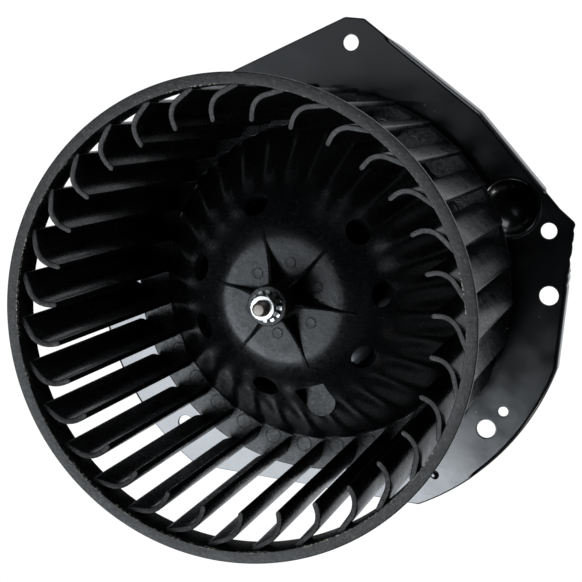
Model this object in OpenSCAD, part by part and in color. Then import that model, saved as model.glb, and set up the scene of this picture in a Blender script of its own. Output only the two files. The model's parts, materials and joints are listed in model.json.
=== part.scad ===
// Heater blower: a moulded squirrel-cage wheel on a flange-mounted permanent-magnet motor.
// Millimetres. The origin is on the shaft axis, in the wheel-side face of the mounting plate.
// +Z runs along the shaft towards the wheel's open inlet; the plate's flat side faces +X.

/* [Wheel] */
// Outside diameter of the wheel's front ring
wheel_od = 150; // [148:0.5:152]
// Height of the front ring's face above the plate
wheel_top = 106.5; // [103:0.5:110]
// Number of forward-curved blades
blade_count = 31; // [27:1:33]
// Thickness of one blade
blade_t = 1.7; // [1.4:0.1:2]
// Radial width of the front ring's flat face
ring_face_w = 3.7; // [3:0.1:4.2]
// Depth of the front ring along the axis
ring_depth = 11.3; // [8:0.1:14]
// Outside diameter of the rear disc
disc_od = 141.4; // [140:0.2:142]
// Underside of the rear disc above the plate
disc_gap = 6.5; // [6:0.1:8]
// Thickness of the rear disc
disc_t = 2.6; // [2:0.1:3]
// Angle of the wheel on its shaft at rest
wheel_rest_angle = 8.6; // [0:0.1:11.6]

/* [Hub] */
// Height of the flat land on top of the hub dome
land_z = 51.6; // [50:0.1:53]
// Radius of that land
land_r = 21; // [20:0.1:22]
// Wall thickness of the dome
hub_wall = 2.2; // [1.8:0.1:2.4]
// Radius of the centre boss
boss_r = 6.2; // [5.8:0.1:7]
// Top of the centre boss
boss_top = 70.5; // [68:0.1:72]
// Diameter of the vent holes in the dome
vent_d = 9; // [7:0.1:9.5]

/* [Shaft] */
// Diameter of the motor shaft
shaft_d = 6.35; // [6:0.05:6.5]
// Diameter of the threaded end
thread_d = 4.76; // [4.5:0.02:5]
// Top of the threaded end
shaft_top = 79.5; // [78:0.1:82]
// Nut size across flats
nut_af = 8; // [7.5:0.1:8.5]

/* [Plate] */
// Thickness of the sheet steel
plate_t = 1.2; // [1:0.1:1.5]
// Radius of the plate's round edges
plate_r = 91.6; // [91:0.1:92]
// Distance of the flat side edge from the axis
plate_side = 89.1; // [88.5:0.1:89.5]
// Distance of the lower flat edge from the axis
plate_base = 80; // [79:0.1:81]
// Height of the turned-down lips
lip_h = 8; // [5:0.5:10]
// Diameter of the flange screw holes
screw_hole_d = 5.8; // [5:0.1:7]
// Diameter of the two larger holes
wide_hole_d = 6.9; // [6:0.1:9]

/* [Motor] */
// Outside diameter of the motor case
case_od = 72; // [71:0.5:73]
// Wall thickness of the motor case
case_wall = 1.6; // [1.4:0.1:1.8]
// Outer face of the case's closed end, inside the wheel hub
case_top = 26; // [25:0.1:26.5]
// Open end of the case, where the end cap seats
case_end = -58; // [-60:0.5:-57]
// Diameter of the armature core
core_d = 49.8; // [48:0.2:50]
// Number of armature slots and commutator bars
slot_count = 12; // [10:1:12]
// Radius of the circle of the three isolators
isolator_r = 44; // [43.5:0.1:44.5]

/* [Hidden] */
$fn = 96;
eps = 0.01;
fit = 0.03;

// Wheel
ring_r = wheel_od / 2;
ring_in_r = ring_r - ring_face_w;
ring_base = wheel_top - ring_depth;
disc_z = disc_gap + disc_t;
blade_top = wheel_top - 4;
blade_tip_r = 60.4;
blade_straight = 2.3;
blade_bend_r = 6.4;
blade_bend = 70;
blade_tail = 6.1;
blade_steps = 7;
blade_phase = 0.76;

// Hub dome: an arc whose centre is off the axis, then a straight skirt down to the disc
dome_r = 29.4;
dome_start = 12;
dome_end = 57.7;
dome_cr = land_r - dome_r * sin(dome_start);
dome_cz = land_z - dome_r * cos(dome_start);
dome_steps = 9;
vent_ring_r = 33.4;
vent_tilt = asin((vent_ring_r - dome_cr) / dome_r);
vent_z = dome_cz + dome_r * cos(vent_tilt);
vent_angles = [0, 40, -40, 108, -108, 162, -162];
hub_skirt_z = 40;
rib_count = 6;
rib_angle = -14;
rib_t = 1.2;
rib_top = 62.5;
rib_end_r = 24;
pad_angle = -80;
pad_z = 38;
pad_in_r = 32.3;
pad_w = 10.6;
pad_straight = 7;

// Shaft, nut and washer
shaft_r = shaft_d / 2;
thread_r = thread_d / 2;
shaft_end = -67.2;
shoulder_z = boss_top - 0.5;
washer_t = 0.7;
nut_h = 4.4;

// Plate: holes as [x, y], all in the plate's own frame
hole_top = [1.2, 87.5];
hole_side_x = 80.2;
hole_side_y = 28.1;
hole_lower = [-50.3, -63.9];
hole_wide_a = [83, 5];
hole_wide_b = [66.4, -47];
hole_small = [71.8, -39.6];
hole_small_d = 3.7;
plate_opening_r = 38;
bowl_pos = [65.5, 34.7];
bowl_r = 10.6;
bowl_depth = 6;
nub_pos = [49.3, -67.6];
ear_top_y = 96.5;
corner = [51, 67.3];
corner_low = [83.1, 36.4];
lip_start = [14.8, 90.4];
lip_stop = [77.3, 42];

// Motor
case_r = case_od / 2;
case_in_r = case_r - case_wall;
pocket_r = 9.5;
front_bearing_z = 29;
rear_bearing_z = -63.5;
bearing_r = 7;
bearing_h = 8;
bearing_gap = 0.025;
mount_ring_z = -10;
mount_ring_t = 1.6;
card_z = -55.4;
card_t = 1.8;
core_z0 = -30;
core_z1 = 8;
winding_h = 9;
magnet_z0 = -36;
magnet_z1 = 14;
magnet_in_r = 25.7;
magnet_half = 62;
comm_r = 10.4;
comm_z0 = -53.2;
comm_z1 = -42.5;
brush_gap = 0.3;
brush_w = 6.4;
brush_h = 8.4;
brush_l = 8.3;
brush_z = -48.5;
brush_play = 0.1;
holder_wall = 0.8;
holder_x0 = 12.4;
holder_x1 = 28.6;
spring_r = 2.4;
spring_wire_r = 0.3;
spring_turns = 6;
isolator_angles = [90, 210, 330];
plug_pos = [0, -25];
plug_w = 20;
plug_d = 13;
plug_wall = 1.6;
plug_end = -74.5;
cap_end = -61.5;

// Points on an arc about (cx, cz); angles are measured from the axis
function arc_points(cx, cz, r, a0, a1, n) =
    [for (i = [0:n]) let (a = a0 + (a1 - a0) * i / n) [cx + r * sin(a), cz + r * cos(a)]];

// One blade's outline: a straight inner edge, a bend, then a straight tail to the ring
function blade_side(shift) = let (
        bend_x = blade_tip_r + blade_straight,
        r = blade_bend_r + shift,
        end = [bend_x + r * sin(blade_bend), blade_bend_r - r * cos(blade_bend)]
    ) concat(
        [[blade_tip_r, -shift]],
        [for (i = [0:blade_steps]) let (a = blade_bend * i / blade_steps)
            [bend_x + r * sin(a), blade_bend_r - r * cos(a)]],
        [[end[0] + blade_tail * cos(blade_bend), end[1] + blade_tail * sin(blade_bend)]]
    );

function reversed(list) = [for (i = [len(list) - 1:-1:0]) list[i]];

// Sector from the axis outwards, for cutting rings
module sector(r, a0, a1) {
    mid = (a0 + a1) / 2;
    polygon([
        [0, 0],
        [r * cos(a0), r * sin(a0)],
        [1.5 * r * cos(a0 + (mid - a0) / 2), 1.5 * r * sin(a0 + (mid - a0) / 2)],
        [1.5 * r * cos(a1 - (a1 - mid) / 2), 1.5 * r * sin(a1 - (a1 - mid) / 2)],
        [r * cos(a1), r * sin(a1)]
    ]);
}

module ring_sector(r_in, r_out, a0, a1, z0, z1) {
    translate([0, 0, z0])
        linear_extrude(z1 - z0)
            intersection() {
                difference() {
                    circle(r = r_out);
                    circle(r = r_in);
                }
                sector(3 * r_out, a0, a1);
            }
}

module tube(r_in, r_out, z0, z1) {
    translate([0, 0, z0])
        difference() {
            cylinder(r = r_out, h = z1 - z0);
            translate([0, 0, -1])
                cylinder(r = r_in, h = z1 - z0 + 2);
        }
}

module at_isolators() {
    for (a = isolator_angles)
        rotate([0, 0, a])
            translate([isolator_r, 0, 0])
                children();
}

module hexagon(af, h) {
    cylinder(d = af / cos(30), h = h, $fn = 6);
}

// ---- Mounting plate -------------------------------------------------------------------

module plate_outline() {
    intersection() {
        union() {
            circle(r = plate_r);
            polygon([[-1.9, ear_top_y], [5.25, ear_top_y], corner, [0, 0], [-70, 58.2]]);
            polygon([corner, corner_low, [plate_side, 32], [plate_side, 0], [0, 0]]);
        }
        polygon([
            [-100, -plate_base],
            [plate_side, -plate_base],
            [plate_side, 32],
            corner_low,
            corner,
            [5.25, ear_top_y],
            [-1.9, ear_top_y],
            [-100, 41.2]
        ]);
    }
}

// Unit vector square to the edge from p to q, towards the axis
function inward(p, q) = let (d = (q - p) / norm(q - p)) [d[1], -d[0]];

// Lip under the two straight edges that meet in the corner, from lip_start to lip_stop
module corner_lip() {
    n_a = inward(lip_start, corner);
    n_b = inward(corner, lip_stop);
    translate([0, 0, -lip_h])
        linear_extrude(lip_h - plate_t + eps)
            polygon([
                lip_start, corner, lip_stop, lip_stop + plate_t * n_b,
                corner + (n_a + n_b) * plate_t / (1 + n_a * n_b), lip_start + plate_t * n_a
            ]);
}

module plate_lips() {
    corner_lip();
    translate([plate_side - plate_t, -21, -lip_h])
        cube([plate_t, 36, lip_h - plate_t + eps]);
    ring_sector(plate_r - plate_t, plate_r, -46.6, -13.4, -lip_h, -plate_t + eps);
    ring_sector(plate_r - plate_t, plate_r, 193.4, 226.6, -lip_h, -plate_t + eps);
}

module bowl(r, depth) {
    sphere_r = (r * r + depth * depth) / (2 * depth);
    translate([bowl_pos[0], bowl_pos[1], sphere_r - depth])
        sphere(r = sphere_r);
}

module mounting_plate() {
    color("#17181a")
        difference() {
            union() {
                translate([0, 0, -plate_t])
                    linear_extrude(plate_t)
                        plate_outline();
                plate_lips();
                intersection() {
                    bowl(bowl_r + plate_t, bowl_depth + plate_t);
                    translate([bowl_pos[0], bowl_pos[1], -20])
                        cylinder(r = 2 * bowl_r, h = 20 - plate_t / 2);
                }
                translate([nub_pos[0], nub_pos[1], -plate_t / 2])
                    cylinder(d = 2.6, h = 1.4);
            }
            bowl(bowl_r, bowl_depth);
            translate([0, 0, -5])
                linear_extrude(10) {
                    circle(r = plate_opening_r);
                    translate(hole_top)
                        circle(d = screw_hole_d);
                    translate([hole_side_x, hole_side_y])
                        circle(d = screw_hole_d);
                    translate([-hole_side_x, hole_side_y])
                        circle(d = screw_hole_d);
                    translate(hole_lower)
                        circle(d = screw_hole_d);
                    translate(hole_wide_a)
                        circle(d = wide_hole_d);
                    translate(hole_wide_b)
                        circle(d = wide_hole_d);
                    translate(hole_small)
                        circle(d = hole_small_d);
                }
            at_isolators()
                translate([0, 0, -5])
                    cylinder(r = 5, h = 10);
        }
}

// ---- Motor mounting -------------------------------------------------------------------

module motor_mount_ring() {
    color("#2a2b2d")
        difference() {
            union() {
                translate([0, 0, mount_ring_z - 8])
                    cylinder(r = case_r + 1.6, h = 8.5);
                translate([0, 0, mount_ring_z])
                    linear_extrude(mount_ring_t) {
                        circle(r = case_r + 3.4);
                        for (a = isolator_angles)
                            rotate([0, 0, a]) {
                                translate([case_r - 6, -8])
                                    square([isolator_r - case_r + 6, 16]);
                                translate([isolator_r, 0])
                                    circle(r = 8);
                            }
                    }
            }
            at_isolators()
                translate([0, 0, mount_ring_z - 1])
                    cylinder(r = 2.3, h = 5);
            translate([0, 0, mount_ring_z - 9])
                cylinder(r = case_r + fit, h = 15);
        }
}

module isolator_grommets() {
    color("#101010")
        at_isolators() {
            tube(3.05, 6.6, mount_ring_z + mount_ring_t, -plate_t);
            tube(3.05, 4.95, -plate_t, 0);
            tube(3.05, 6.6, 0, 1.8);
        }
}

module spacer_sleeves() {
    color("#b8babc")
        at_isolators()
            tube(2.15, 3, mount_ring_z + mount_ring_t, 1.9);
}

module mount_screws() {
    color("#c4c6c8")
        at_isolators()
            difference() {
                union() {
                    translate([0, 0, 1.9])
                        cylinder(r = 4.6, h = 0.9);
                    translate([0, 0, 2.7])
                        hexagon(7, 2.4);
                    translate([0, 0, -16.4])
                        cylinder(r = 2, h = 18.4);
                }
                translate([0, 0, 4.1])
                    cylinder(r = 2.2, h = 2);
            }
}

module mount_nuts() {
    color("#c4c6c8")
        at_isolators()
            translate([0, 0, mount_ring_z - 4])
                difference() {
                    union() {
                        hexagon(7, 4);
                        translate([0, 0, 3.1])
                            cylinder(r = 4.6, h = 0.9);
                    }
                    translate([0, 0, -1])
                        cylinder(r = 2 + fit, h = 6);
                }
}

// ---- Motor case and bearings ------------------------------------------------------------

module motor_case() {
    inner_top = case_top - case_wall;
    color("#3c3f43")
        difference() {
            rotate_extrude()
                polygon(concat(
                    [[case_r, case_end]],
                    reversed(arc_points(case_r - 5, case_top - 5, 5, 0, 90, 4)),
                    [[pocket_r + 1, case_top], [pocket_r, case_top + 7.5], [pocket_r - 1.5, case_top + 8.5]],
                    [[4.2, case_top + 8.5], [4.2, case_top + 7.1], [7.9, case_top + 7.1]],
                    [[8.6, inner_top]],
                    arc_points(case_in_r - 3.4, inner_top - 3.4, 3.4, 0, 90, 4),
                    [[case_in_r, case_end]]
                ));
            for (a = [45:90:315])
                rotate([0, 0, a])
                    translate([22, 0, inner_top - 1])
                        cylinder(r = 4, h = 4);
            for (a = [0, 180])
                rotate([0, 0, a])
                    translate([case_r - 4, -6, -47])
                        cube([8, 12, 8]);
        }
}

module rear_end_cap() {
    color("#8f9295")
        difference() {
            rotate_extrude()
                polygon([
                    [0, -69.5], [8, -69.5], [pocket_r - 0.3, -68.5], [pocket_r + 1, cap_end],
                    [case_r - 1, cap_end], [case_r, cap_end + 1], [case_r, case_end],
                    [case_in_r - 0.1, case_end], [case_in_r - 0.1, card_z - 0.1],
                    [case_in_r - 1.8, card_z - 0.1], [case_in_r - 1.8, cap_end + 1.5],
                    [8.2, cap_end + 1.5], [7.6, -68.1], [0, -68.1]
                ]);
            for (s = [-1, 1])
                translate([plug_pos[0] + s * 4.5 - 3.6, plug_pos[1] - 0.8, cap_end - 1])
                    cube([7.2, 1.6, 4]);
            for (a = [0, 60, 120, 180])
                rotate([0, 0, a])
                    translate([22, 0, cap_end - 1])
                        cylinder(r = 3.2, h = 4);
        }
}

// Self-aligning sintered bearing: a ball cut flat top and bottom, bored for the shaft
module ball_bush(z) {
    translate([0, 0, z])
        difference() {
            intersection() {
                sphere(r = bearing_r);
                translate([0, 0, -bearing_h / 2])
                    cylinder(r = bearing_r + 1, h = bearing_h);
            }
            translate([0, 0, -bearing_h])
                cylinder(r = shaft_r + bearing_gap, h = 2 * bearing_h);
        }
}

module front_bearing() {
    color("#8a6a3f")
        ball_bush(front_bearing_z);
}

module rear_bearing() {
    color("#8a6a3f")
        ball_bush(rear_bearing_z);
}

// Spring-steel retainer: a dished ring that holds the ball in its pocket
module retainer(z, up) {
    translate([0, 0, z])
        mirror([0, 0, up ? 0 : 1])
            rotate_extrude()
                polygon([[6.8, 1.2], [7.3, 1.4], [8.2, 0], [12.5, 0], [12.5, -0.5], [7.9, -0.5]]);
}

module front_bearing_retainer() {
    color("#a9acae")
        retainer(case_top - case_wall - 0.05, true);
}

module rear_bearing_retainer() {
    color("#a9acae")
        retainer(cap_end + 1.55, false);
}

// ---- Field magnets ------------------------------------------------------------------------

module magnet(mid) {
    color("#2b2b2e")
        ring_sector(magnet_in_r, case_in_r - 0.05, mid - magnet_half, mid + magnet_half, magnet_z0, magnet_z1);
}

module magnet_upper() {
    magnet(90);
}

module magnet_lower() {
    magnet(270);
}

// Bent spring clips that wedge the two magnets apart
module magnet_clips() {
    half = 90 - magnet_half - 0.6;
    color("#a9acae")
        for (a = [0, 180]) {
            ring_sector(case_in_r - 1, case_in_r - 0.1, a - half, a + half, -26, 4);
            ring_sector(28, case_in_r - 0.1, a - half, a - half + 2, -26, 4);
            ring_sector(28, case_in_r - 0.1, a + half - 2, a + half, -26, 4);
        }
}

// ---- Brush gear -----------------------------------------------------------------------------

module brush_card() {
    color("#6b4a2b")
        difference() {
            tube(12.4, case_in_r - 0.1, card_z, card_z + card_t);
            for (s = [-1, 1])
                translate([plug_pos[0] + s * 4.5 - 3.3, plug_pos[1] - 0.5, card_z - 1])
                    cube([6.6, 1, card_t + 2]);
        }
}

module brush_box(grow, x0, x1) {
    w = brush_w + 2 * grow;
    h = brush_h + 2 * grow;
    translate([x0, -w / 2, brush_z - h / 2])
        cube([x1 - x0, w, h]);
}

module brush_holder() {
    bottom = brush_z - brush_h / 2 - brush_play - holder_wall;
    difference() {
        union() {
            brush_box(brush_play + holder_wall, holder_x0, holder_x1 + holder_wall);
            translate([holder_x0 + 2, -7, card_z + card_t])
                cube([10, 14, bottom - card_z - card_t + holder_wall]);
        }
        brush_box(brush_play, holder_x0 - 1, holder_x1);
    }
}

module brush_holders() {
    color("#c9a24a")
        for (a = [0, 180])
            rotate([0, 0, a])
                brush_holder();
}

module brush() {
    color("#262626")
        brush_box(0, comm_r + brush_gap, comm_r + brush_gap + brush_l);
}

module brush_right() {
    brush();
}

module brush_left() {
    rotate([0, 0, 180])
        brush();
}

// Compression spring between the brush and the end of its holder, swept as an 8-sided wire
function spring_ring(t, len) = [
    for (k = [0:7]) let (
            turn = 360 * spring_turns * t,
            r = spring_r + spring_wire_r * cos(45 * k),
            x = len * t + spring_wire_r * sin(45 * k)
        ) [x, r * cos(turn), r * sin(turn)]
];

module brush_spring() {
    x0 = comm_r + brush_gap + brush_l + spring_wire_r + 0.05;
    x1 = holder_x1 - spring_wire_r - 0.05;
    steps = 16 * spring_turns;
    points = [for (i = [0:steps]) each spring_ring(i / steps, x1 - x0)];
    start_cap = [[for (k = [0:7]) k]];
    end_cap = [[for (k = [7:-1:0]) 8 * steps + k]];
    sides = [for (i = [0:steps - 1]) for (k = [0:7])
        [8 * i + k, 8 * (i + 1) + k, 8 * (i + 1) + (k + 1) % 8, 8 * i + (k + 1) % 8]];
    color("#a9acae")
        translate([x0, 0, brush_z])
            polyhedron(points, concat(start_cap, sides, end_cap));
}

module brush_spring_right() {
    brush_spring();
}

module brush_spring_left() {
    rotate([0, 0, 180])
        brush_spring();
}

// Two wound chokes that lie on the card beside the commutator
module choke_coils() {
    for (s = [-1, 1])
        translate([-8, s * 17 + 2, card_z + card_t + 3.2])
            rotate([0, 90, 0]) {
                color("#3a3a3c")
                    cylinder(r = 1.8, h = 16);
                color("#b5652b")
                    translate([0, 0, 2])
                        cylinder(r = 3.2, h = 12);
            }
}

module terminals() {
    color("#cfc9a8")
        for (s = [-1, 1])
            translate([plug_pos[0] + s * 4.5 - 3.15, plug_pos[1] - 0.4, plug_end + 2.5])
                cube([6.3, 0.8, card_z + card_t + 2 - plug_end - 2.5]);
}

module connector_housing() {
    color("#1b1b1d")
        difference() {
            translate([plug_pos[0] - plug_w / 2, plug_pos[1] - plug_d / 2, plug_end])
                cube([plug_w, plug_d, cap_end - plug_end]);
            translate([plug_pos[0] - plug_w / 2 + plug_wall, plug_pos[1] - plug_d / 2 + plug_wall, plug_end - 1])
                cube([plug_w - 2 * plug_wall, plug_d - 2 * plug_wall, cap_end - plug_end - 2]);
            for (s = [-1, 1])
                translate([plug_pos[0] + s * 4.5 - 3.2, plug_pos[1] - 0.45, plug_end])
                    cube([6.4, 0.9, cap_end - plug_end + 1]);
        }
}

// ---- Rotor ------------------------------------------------------------------------------------

module hub_shell() {
    r_in = dome_r - hub_wall;
    skirt = tan(dome_end);
    out_end = [dome_cr + dome_r * sin(dome_end), dome_cz + dome_r * cos(dome_end)];
    in_end = [dome_cr + r_in * sin(dome_end), dome_cz + r_in * cos(dome_end)];
    rotate_extrude()
        polygon(concat(
            [[boss_r - 1, land_z]],
            arc_points(dome_cr, dome_cz, dome_r, dome_start, dome_end, dome_steps),
            [[out_end[0] + (out_end[1] - disc_z) / skirt, disc_z]],
            [[disc_od / 2, disc_z], [disc_od / 2, disc_gap]],
            [[in_end[0] + (in_end[1] - disc_gap) / skirt, disc_gap]],
            reversed(arc_points(dome_cr, dome_cz, r_in, dome_start, dome_end, dome_steps)),
            [[boss_r - 1, land_z - hub_wall]]
        ));
}

module wheel_front_ring() {
    color("#1c1d1f")
        rotate_extrude()
            polygon([
                [ring_in_r, ring_base], [ring_in_r + 1.1, ring_base], [ring_in_r + 1.3, wheel_top - 5],
                [ring_r - 0.2, wheel_top - 1.9], [ring_r, wheel_top - 1.4], [ring_r, wheel_top - 0.4],
                [ring_r - 0.4, wheel_top], [ring_in_r + 0.4, wheel_top], [ring_in_r, wheel_top - 0.4]
            ]);
}

module blade_outline() {
    polygon(concat(blade_side(blade_t / 2), reversed(blade_side(-blade_t / 2))));
}

// The blades stand on the rear disc and end against the ring's inner wall
module wheel_blades() {
    color("#1c1d1f")
        rotate([0, 0, wheel_rest_angle])
            difference() {
                for (i = [0:blade_count - 1])
                    rotate([0, 0, blade_phase + i * 360 / blade_count])
                        mirror([0, 1, 0])
                            translate([0, 0, disc_z])
                                linear_extrude(blade_top - disc_z)
                                    blade_outline();
                tube(ring_in_r, ring_r + 5, ring_base, wheel_top + 1);
            }
}

module hub_rib() {
    translate([0, rib_t / 2, 0])
        rotate([90, 0, 0])
            linear_extrude(rib_t)
                polygon([
                    [boss_r - 1, land_z - 1], [boss_r - 1, rib_top], [boss_r + 0.5, rib_top],
                    [rib_end_r, land_z + 0.2], [rib_end_r, land_z - 1.5]
                ]);
}

// D-shaped pad, flat on top, straight towards the axis and round outwards
module pad_prism(grow, z0, z1) {
    rotate([0, 0, pad_angle])
        translate([pad_in_r, 0, z0])
            rotate([0, 0, 4])
                linear_extrude(z1 - z0) {
                    translate([-grow, -pad_w / 2 - grow])
                        square([pad_straight + grow, pad_w + 2 * grow]);
                    translate([pad_straight, 0])
                        circle(d = pad_w + 2 * grow);
                }
}

// The part of the pad that stands out of the dome, from inside the wall outwards
module pad_outer() {
    r = dome_r - hub_wall + 0.4;
    skirt_run = 6;
    intersection() {
        pad_prism(0, pad_z - 14, pad_z + 0.5);
        rotate_extrude()
            polygon(concat(
                [[dome_cr + 24, land_z], [dome_cr + 44, land_z], [dome_cr + 44, disc_z + 5]],
                [[
                    dome_cr + r * sin(dome_end) + skirt_run,
                    dome_cz + r * cos(dome_end) - skirt_run * tan(dome_end)
                ]],
                reversed(arc_points(dome_cr, dome_cz, r, 40, dome_end, 5))
            ));
    }
}

// Floor and walls of the recess where the pad runs into the dome
module pad_inner() {
    r = dome_r - 0.6;
    intersection() {
        pad_prism(1.5, pad_z - 2, pad_z + 8);
        rotate_extrude()
            polygon(concat(
                [[dome_cr, dome_cz]],
                arc_points(dome_cr, dome_cz, r, 10, dome_end, 7)
            ));
    }
}

module wheel_hub() {
    color("#1c1d1f")
        rotate([0, 0, wheel_rest_angle])
            difference() {
                union() {
                    difference() {
                        union() {
                            hub_shell();
                            pad_outer();
                            pad_inner();
                        }
                        pad_prism(0.05, pad_z, pad_z + 20);
                    }
                    translate([0, 0, hub_skirt_z])
                        cylinder(r = boss_r, h = boss_top - hub_skirt_z);
                    for (i = [0:rib_count - 1])
                        rotate([0, 0, rib_angle + 60 * i])
                            hub_rib();
                }
                translate([0, 0, hub_skirt_z - 1])
                    cylinder(r = shaft_r + fit, h = boss_top - hub_skirt_z + 2);
                for (a = vent_angles)
                    rotate([0, 0, a])
                        translate([vent_ring_r, 0, vent_z])
                            rotate([0, vent_tilt, 0])
                                translate([0, 0, -7])
                                    cylinder(d = vent_d, h = 14);
            }
}

module shaft_nut() {
    color("#d3d5d7")
        translate([0, 0, boss_top + washer_t])
            difference() {
                intersection() {
                    hexagon(nut_af, nut_h);
                    rotate_extrude()
                        polygon([
                            [0, 0], [nut_af / 2 + 0.6, 0], [nut_af / 2 + 0.6, nut_h - 0.5],
                            [nut_af / 2 - 0.2, nut_h], [0, nut_h]
                        ]);
                }
                translate([0, 0, -1])
                    cylinder(r = thread_r + fit, h = nut_h + 2);
            }
}

// External-tooth lock washer
module lock_washer() {
    teeth = 12;
    color("#c9cbcd")
        translate([0, 0, boss_top])
            linear_extrude(washer_t)
                difference() {
                    union() {
                        circle(r = 4);
                        for (i = [0:teeth - 1])
                            rotate([0, 0, i * 360 / teeth])
                                polygon([[3.6, -0.75], [5.3, -0.5], [5.3, 0.5], [3.6, 0.75]]);
                    }
                    circle(r = thread_r + 0.1);
                }
}

module wheel_stop_ring() {
    color("#8d9093")
        difference() {
            tube(shaft_r + fit, 5.6, hub_skirt_z - 1.6, hub_skirt_z - 0.05);
            translate([0, -1.2, hub_skirt_z - 3])
                cube([8, 2.4, 4]);
        }
}

module armature_shaft() {
    color("#c2c4c6")
        rotate_extrude()
            polygon([
                [0, shaft_end], [shaft_r - 0.6, shaft_end], [shaft_r, shaft_end + 0.6],
                [shaft_r, shoulder_z], [thread_r, shoulder_z], [thread_r, shaft_top - 0.7],
                [thread_r - 0.7, shaft_top], [0, shaft_top]
            ]);
}

module armature_core() {
    slot_r = 2.9;
    color("#6f7276")
        translate([0, 0, core_z0])
            linear_extrude(core_z1 - core_z0)
                difference() {
                    circle(d = core_d);
                    circle(r = shaft_r + fit);
                    for (i = [0:slot_count - 1])
                        rotate([0, 0, i * 360 / slot_count]) {
                            translate([18, 0])
                                circle(r = slot_r);
                            translate([18, -1])
                                square([10, 2]);
                        }
                }
}

module winding_head(z, up) {
    translate([0, 0, z])
        mirror([0, 0, up ? 0 : 1])
            rotate_extrude()
                polygon(concat(
                    [[6.5, 0.05], [22.4, 0.05]],
                    reversed(arc_points(18.4, winding_h - 4, 4, 0, 80, 4)),
                    [[9, winding_h], [6.5, winding_h - 2.5]]
                ));
}

module armature_windings() {
    color("#b4622a") {
        winding_head(core_z1, true);
        winding_head(core_z0, false);
        for (i = [0:slot_count - 1])
            rotate([0, 0, i * 360 / slot_count])
                translate([18, 0, core_z0 - 1])
                    cylinder(r = 2.6, h = core_z1 - core_z0 + 2);
    }
}

module commutator() {
    color("#b8763e")
        translate([0, 0, comm_z0])
            difference() {
                union() {
                    cylinder(r = comm_r, h = comm_z1 - comm_z0);
                    translate([0, 0, comm_z1 - comm_z0 - 1.2])
                        cylinder(r = comm_r + 0.9, h = 1.2);
                }
                translate([0, 0, -1])
                    cylinder(r = shaft_r + fit, h = 20);
                for (i = [0:slot_count - 1])
                    rotate([0, 0, (i + 0.5) * 360 / slot_count])
                        translate([comm_r - 0.8, -0.3, -1])
                            cube([4, 0.6, 20]);
            }
}

module thrust_washers() {
    front = front_bearing_z - bearing_h / 2;
    rear = rear_bearing_z + bearing_h / 2;
    color("#d9d2bd") {
        tube(shaft_r + fit, 5.4, front - 1.5, front - 0.2);
        tube(shaft_r + fit, 5.4, rear + 0.2, rear + 1.5);
    }
}

mounting_plate();
motor_case();
rear_end_cap();
motor_mount_ring();
isolator_grommets();
spacer_sleeves();
mount_screws();
mount_nuts();
front_bearing();
front_bearing_retainer();
rear_bearing();
rear_bearing_retainer();
magnet_upper();
magnet_lower();
magnet_clips();
brush_card();
brush_holders();
brush_right();
brush_left();
brush_spring_right();
brush_spring_left();
choke_coils();
terminals();
connector_housing();
wheel_front_ring();
wheel_blades();
wheel_hub();
shaft_nut();
lock_washer();
wheel_stop_ring();
armature_shaft();
armature_core();
armature_windings();
commutator();
thrust_washers();
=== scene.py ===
import json
import math

import bmesh
import bpy
from mathutils import Matrix, Vector
from mathutils.geometry import tessellate_polygon


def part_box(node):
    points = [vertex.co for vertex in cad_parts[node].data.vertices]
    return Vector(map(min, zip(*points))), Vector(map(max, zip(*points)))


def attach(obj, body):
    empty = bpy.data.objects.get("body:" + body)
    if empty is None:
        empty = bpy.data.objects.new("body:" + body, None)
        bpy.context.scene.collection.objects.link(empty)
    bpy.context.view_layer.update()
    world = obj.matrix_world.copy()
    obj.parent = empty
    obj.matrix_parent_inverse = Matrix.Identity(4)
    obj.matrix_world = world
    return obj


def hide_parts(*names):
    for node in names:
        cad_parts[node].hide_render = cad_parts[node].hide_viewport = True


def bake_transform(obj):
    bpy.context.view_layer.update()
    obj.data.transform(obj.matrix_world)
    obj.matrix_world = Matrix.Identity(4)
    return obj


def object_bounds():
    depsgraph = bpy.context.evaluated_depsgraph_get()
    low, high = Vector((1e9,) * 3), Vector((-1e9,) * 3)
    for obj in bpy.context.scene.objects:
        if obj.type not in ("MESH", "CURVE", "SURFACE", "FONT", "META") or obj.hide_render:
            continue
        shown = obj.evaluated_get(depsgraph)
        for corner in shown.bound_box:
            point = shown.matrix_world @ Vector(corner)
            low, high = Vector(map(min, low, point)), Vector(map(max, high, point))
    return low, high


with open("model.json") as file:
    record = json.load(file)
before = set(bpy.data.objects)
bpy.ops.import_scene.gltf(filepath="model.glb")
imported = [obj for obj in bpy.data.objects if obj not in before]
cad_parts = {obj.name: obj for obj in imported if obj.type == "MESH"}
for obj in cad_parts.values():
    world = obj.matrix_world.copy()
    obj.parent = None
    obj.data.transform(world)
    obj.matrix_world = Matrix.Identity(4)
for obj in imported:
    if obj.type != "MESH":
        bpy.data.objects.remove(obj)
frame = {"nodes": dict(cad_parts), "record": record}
cad_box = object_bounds()

# ---- Sizes in millimetres, in the frame of the CAD model ------------------------------------
MM = 0.001
BASE, ROTOR = "flange_and_motor", "rotor"


def box_mm(node):
    low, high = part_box(node)
    return low / MM, high / MM


ring_low, ring_high = box_mm("wheel_front_ring")
hub_low, hub_high = box_mm("wheel_hub")
plate_low, plate_high = box_mm("mounting_plate")
nut_low, nut_high = box_mm("shaft_nut")
washer_low, washer_high = box_mm("lock_washer")
shaft_low, shaft_high = box_mm("armature_shaft")

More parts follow.
